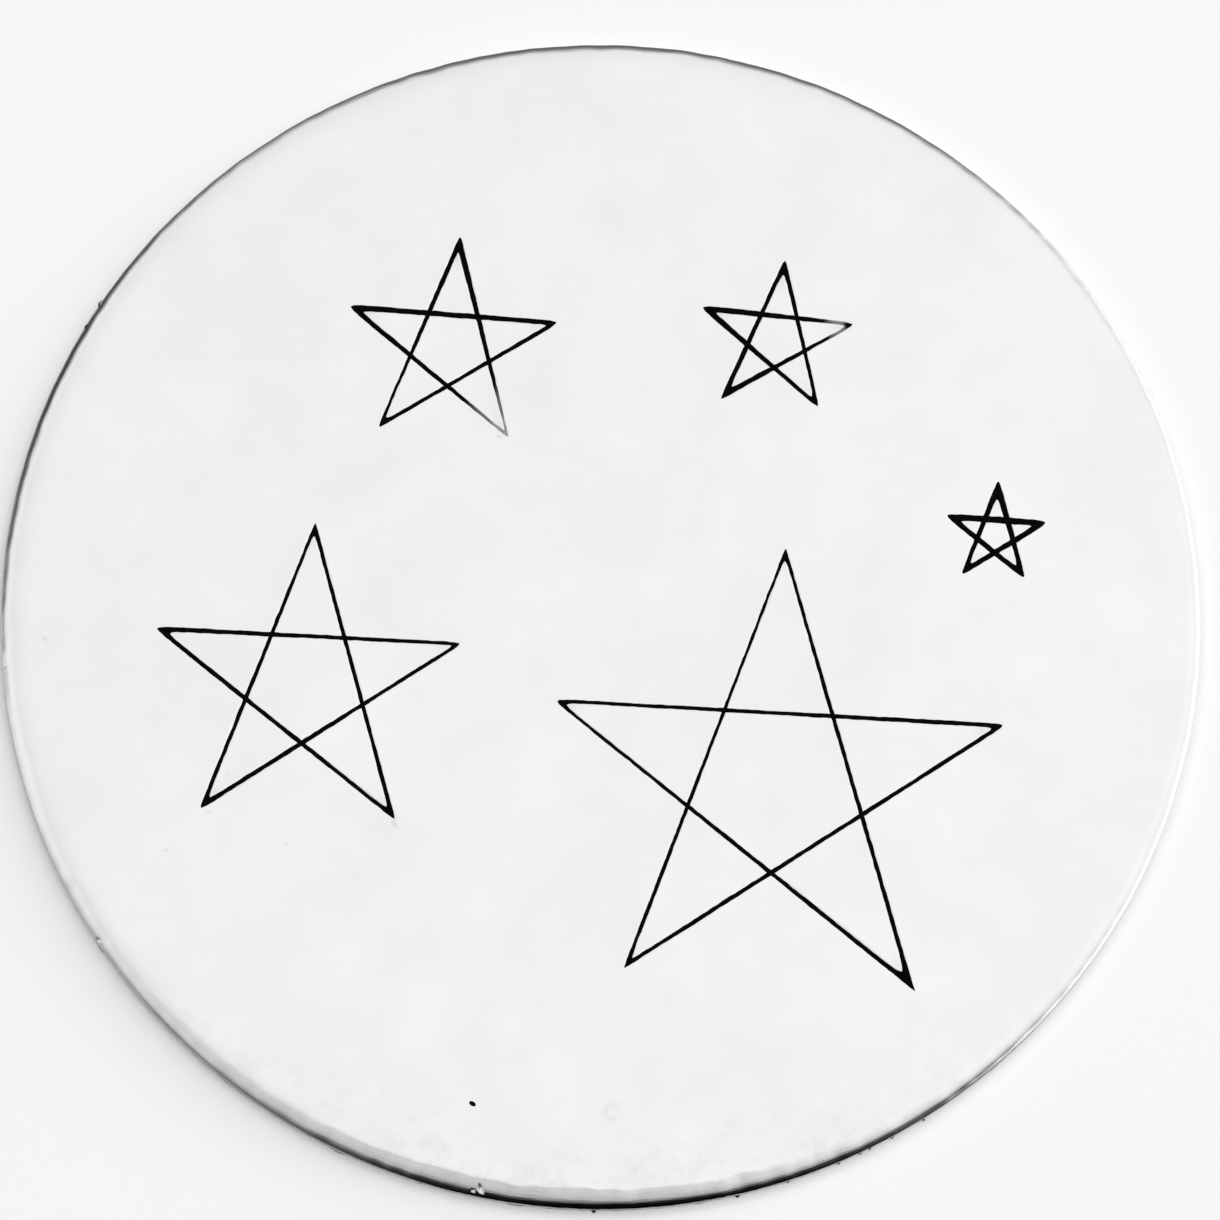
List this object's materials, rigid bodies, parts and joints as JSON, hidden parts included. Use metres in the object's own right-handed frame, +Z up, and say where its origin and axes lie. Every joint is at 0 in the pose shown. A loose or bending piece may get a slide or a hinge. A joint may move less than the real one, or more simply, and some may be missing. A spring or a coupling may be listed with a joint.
{
  "type": "stamp sample disc",
  "caption": "Flat round aluminium blank with a rolled top edge, struck with graded outlines of five-pointed stars that are filled with black enamel.",
  "frame": {"origin": "centre of the disc's underside", "axes": "+Z up, out of the struck face; +Y the way that the largest star points"},
  "size_m": [0.032, 0.032, 0.001],
  "materials": {
    "sheet_aluminium": "satin",
    "black_enamel": "semi-gloss"
  },
  "bodies": {
    "root": {"blank_disc": "sheet_aluminium", "largest_star_enamel": "black_enamel", "large_star_enamel": "black_enamel", "middle_star_enamel": "black_enamel", "small_star_enamel": "black_enamel", "smallest_star_enamel": "black_enamel", "stray_enamel": "black_enamel"}
  },
  "joints": []
}
